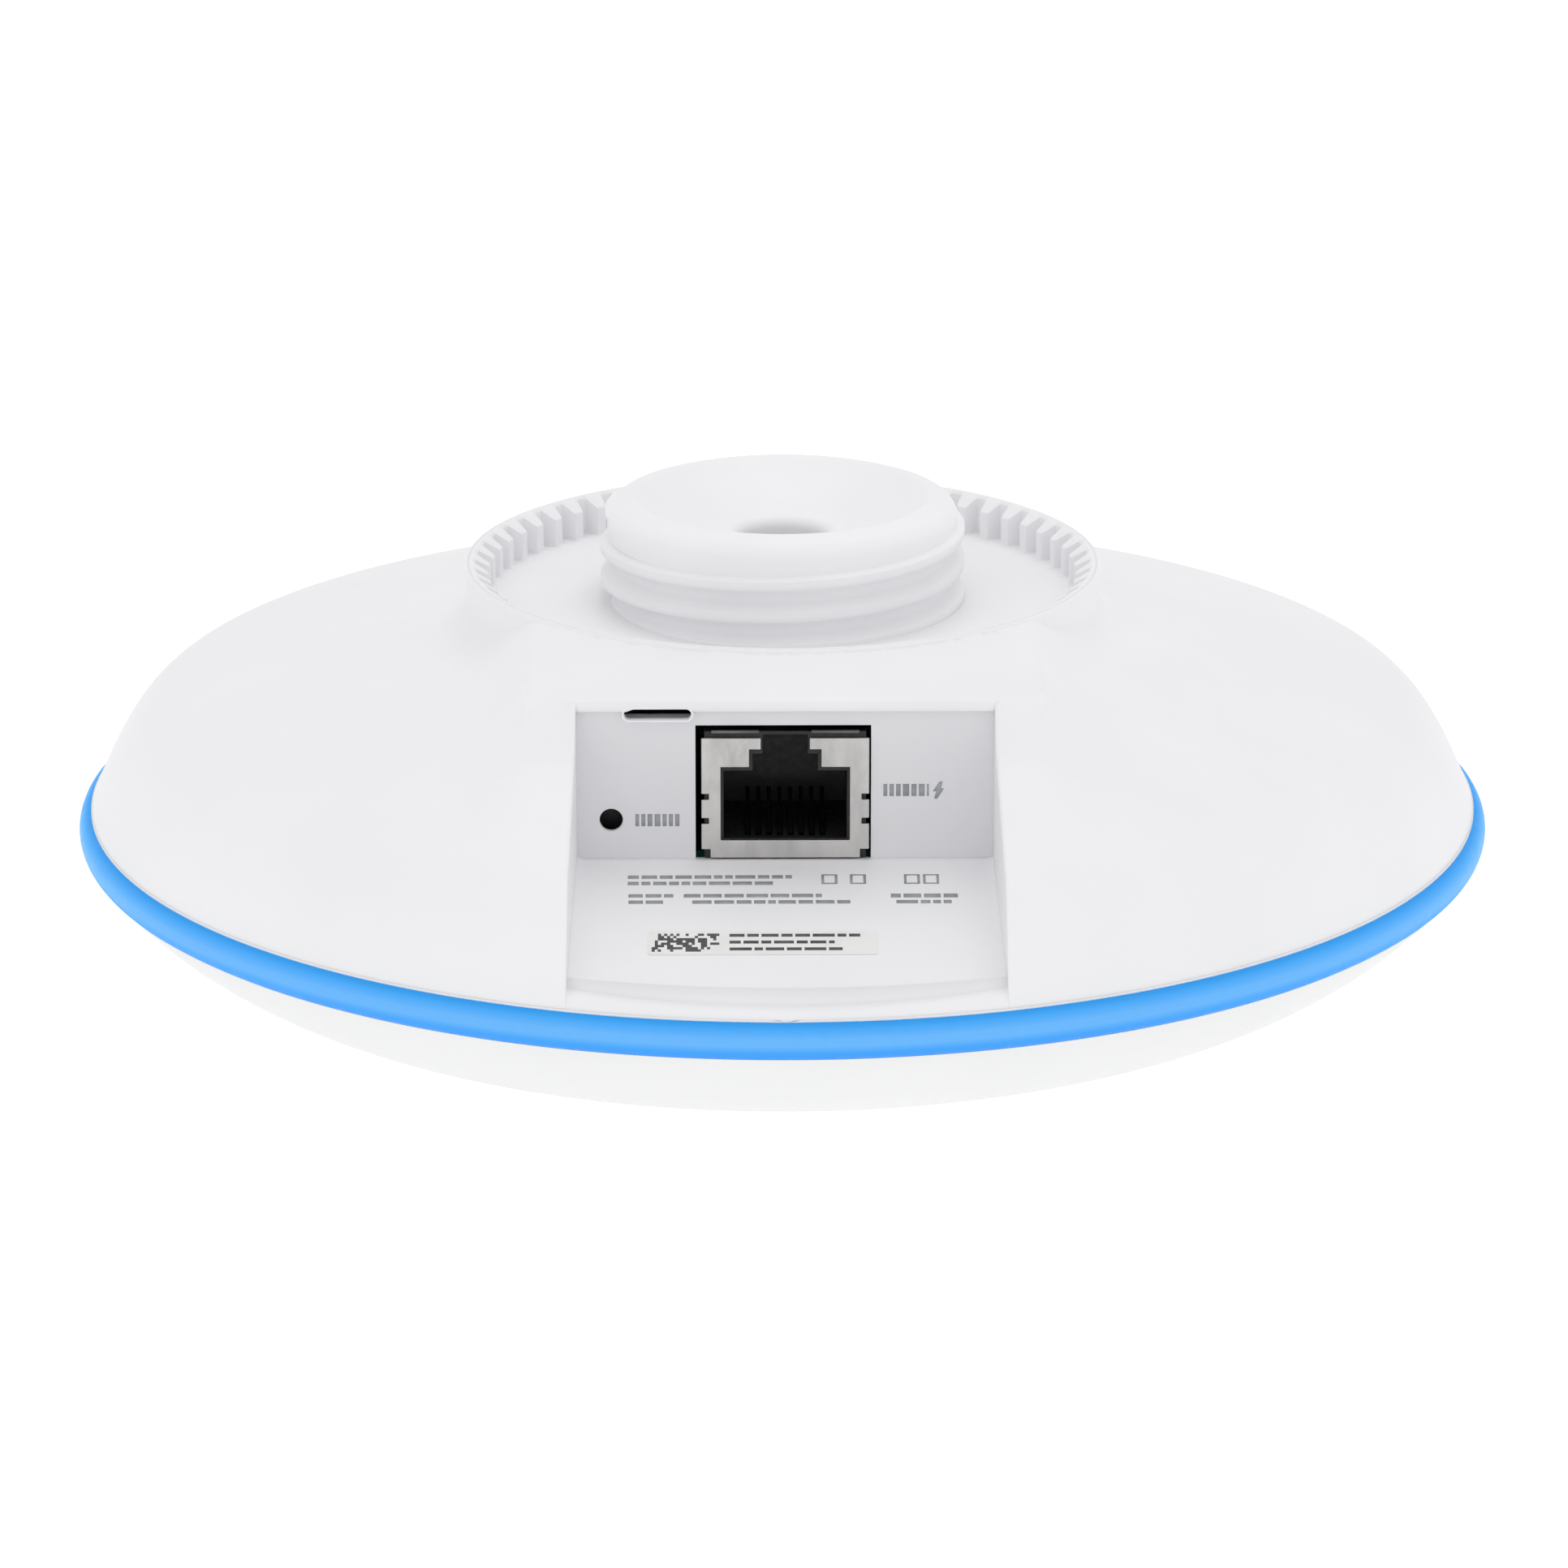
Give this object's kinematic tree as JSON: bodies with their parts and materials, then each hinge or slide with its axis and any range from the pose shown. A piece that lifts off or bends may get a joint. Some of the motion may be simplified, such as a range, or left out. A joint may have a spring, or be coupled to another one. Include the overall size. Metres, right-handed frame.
{
  "type": "ceiling access point",
  "caption": "Disc-shaped white radio access point with a glowing blue ring, a network port bay, and a threaded post inside a toothed collar for mounting.",
  "frame": {"origin": "on the post's axis, in the plane of the recess floor around the post, which is where a mounting nut bottoms out", "axes": "+Z along the post towards its free end, -Y out of the network port's mouth, +X to the right when looking into the port with the post up"},
  "size_m": [0.14, 0.14, 0.0524],
  "materials": {
    "housing_white": "satin moulded plastic, fine spark texture",
    "post_white": "satin moulded plastic, smooth",
    "seal_grey": "matt rubber",
    "screw_steel": "zinc plated",
    "cover_white": "matt moulded plastic, very fine texture",
    "light_blue": "lit diffusing plastic",
    "seal_light": "matt silicone",
    "board_white": "white solder mask",
    "led_yellow": "clear epoxy over phosphor",
    "flex_amber": "polyimide film",
    "board_green": "solder mask",
    "jack_nickel": "brushed nickel plate",
    "jack_black": "glass-filled plastic",
    "contact_gold": "gold flash",
    "component_black": "moulded epoxy",
    "ferrite_brown": "ferrite and varnish",
    "ferrite_grey": "sintered ferrite",
    "capacitor_can": "sleeved can",
    "switch_black": "moulded plastic",
    "button_black": "moulded plastic",
    "dome_steel": "spring steel",
    "can_tin": "tin plate",
    "chip_black": "moulded epoxy",
    "pad_blue": "soft silicone",
    "cast_aluminium": "die-cast, bead blasted",
    "coax_grey": "extruded jacket",
    "patch_brass": "stamped sheet",
    "label_white": "coated paper"
  },
  "bodies": {
    "housing": {"back_shell": "housing_white", "mount_post": "post_white", "post_seal": "seal_grey", "post_screws": "screw_steel", "radome_cover": "cover_white", "led_ring": "light_blue", "housing_gasket": "seal_light", "led_board": "board_white", "leds": "led_yellow", "led_flex_tail": "flex_amber", "main_pcb": "board_green", "jack_shield": "jack_nickel", "jack_insert": "jack_black", "jack_contacts": "contact_gold", "lan_transformer": "component_black", "poe_transformer": "ferrite_brown", "power_inductors": "ferrite_grey", "bulk_capacitors": "capacitor_can", "reset_switch_body": "switch_black", "switch_dome": "dome_steel", "rf_shield_cans": "can_tin", "processor_chip": "chip_black", "radio_chips": "chip_black", "memory_chips": "chip_black", "thermal_pads": "pad_blue", "heat_spreader": "cast_aluminium", "chassis_screws": "screw_steel", "coax_leads": "coax_grey", "coax_plugs": "contact_gold", "antenna_board": "board_green", "antenna_patches": "patch_brass", "antenna_screws": "screw_steel", "rating_label": "label_white"},
    "button": {"reset_button": "button_black"}
  },
  "joints": [
    {"name": "reset_press", "type": "slide", "parent": "housing", "child": "button", "axis": [0, 1, 0], "range_m": [0, 0.00035], "stiffness_N_per_m": 500, "springref_m": -0.002}
  ]
}
